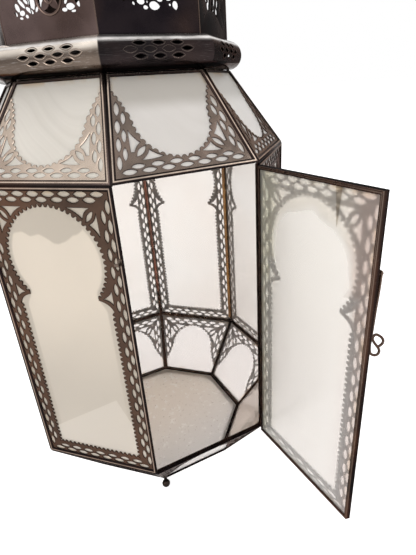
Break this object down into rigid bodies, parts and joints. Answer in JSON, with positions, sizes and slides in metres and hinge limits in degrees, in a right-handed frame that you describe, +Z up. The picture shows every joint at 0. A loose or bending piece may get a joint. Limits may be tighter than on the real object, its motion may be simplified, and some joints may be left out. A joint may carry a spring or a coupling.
{
  "type": "pierced metal lantern",
  "caption": "Octagonal lantern of dark bronze channels, frosted glass panes and pierced filigree, with a hinged door, wire latch, ball feet and hanging ring.",
  "frame": {"origin": "centre of the base plate's underside, on the lantern's upright axis", "axes": "+Z up along the lantern's axis; the door opening faces -Y; +X to the right of someone who faces the door opening"},
  "size_m": [0.3048, 0.434, 0.6639],
  "materials": {
    "antique_bronze": "dark brown antique patina with coppery wear on the ridges",
    "pierced_bronze": "dark brown pierced sheet with pale rubbed edges",
    "worn_bronze": "half-polished grey-brown bronze",
    "latch_wire": "blackened wire",
    "frosted_glass": "milky frosted glass",
    "frosted_base": "grey-beige frosted glass with fine specks"
  },
  "bodies": {
    "lantern": {"lower_frame": "antique_bronze", "base_plate": "frosted_base", "body_frame": "antique_bronze", "shoulder_frame": "antique_bronze", "collar": "worn_bronze", "gallery": "antique_bronze", "dome": "antique_bronze", "finial": "worn_bronze", "hinge_pin_lower": "latch_wire", "hinge_pin_upper": "latch_wire", "latch_catch": "latch_wire", "ball_foot_front_left": "antique_bronze", "ball_foot_right": "antique_bronze", "ball_foot_back_right": "antique_bronze", "ball_foot_left": "antique_bronze", "lower_glass_0": "frosted_glass", "lower_glass_1": "frosted_glass", "lower_glass_2": "frosted_glass", "lower_glass_3": "frosted_glass", "lower_glass_4": "frosted_glass", "lower_glass_5": "frosted_glass", "lower_glass_6": "frosted_glass", "lower_glass_7": "frosted_glass", "body_glass_1": "frosted_glass", "body_glass_2": "frosted_glass", "body_glass_3": "frosted_glass", "body_glass_4": "frosted_glass", "body_glass_5": "frosted_glass", "body_glass_6": "frosted_glass", "body_glass_7": "frosted_glass", "body_filigree_1": "pierced_bronze", "body_filigree_2": "pierced_bronze", "body_filigree_3": "pierced_bronze", "body_filigree_4": "pierced_bronze", "body_filigree_5": "pierced_bronze", "body_filigree_6": "pierced_bronze", "body_filigree_7": "pierced_bronze", "shoulder_glass_0": "frosted_glass", "shoulder_glass_1": "frosted_glass", "shoulder_glass_2": "frosted_glass", "shoulder_glass_3": "frosted_glass", "shoulder_glass_4": "frosted_glass", "shoulder_glass_5": "frosted_glass", "shoulder_glass_6": "frosted_glass", "shoulder_glass_7": "frosted_glass", "shoulder_filigree_0": "pierced_bronze", "shoulder_filigree_1": "pierced_bronze", "shoulder_filigree_2": "pierced_bronze", "shoulder_filigree_3": "pierced_bronze", "shoulder_filigree_4": "pierced_bronze", "shoulder_filigree_5": "pierced_bronze", "shoulder_filigree_6": "pierced_bronze", "shoulder_filigree_7": "pierced_bronze"},
    "door": {"door_frame": "antique_bronze", "door_glass": "frosted_glass", "door_filigree": "pierced_bronze", "latch_rivet": "latch_wire"},
    "latch": {"latch_hook": "latch_wire"},
    "ring": {"hanging_ring": "worn_bronze"}
  },
  "joints": [
    {"name": "door_hinge", "type": "hinge", "parent": "lantern", "child": "door", "pos_m": [0.06406, -0.15466, 0.07515], "axis": [0, 0, 1], "range_deg": [-92, 100]},
    {"name": "latch_swing", "type": "hinge", "parent": "door", "child": "latch", "pos_m": [0.06617, -0.27866, 0.30715], "axis": [-0.9994, -0.0349, 0], "range_deg": [-60, 115]},
    {"name": "ring_swing", "type": "hinge", "parent": "lantern", "child": "ring", "pos_m": [0, 0, 0.6405], "axis": [1, 0, 0], "range_deg": [-260, 0]}
  ]
}
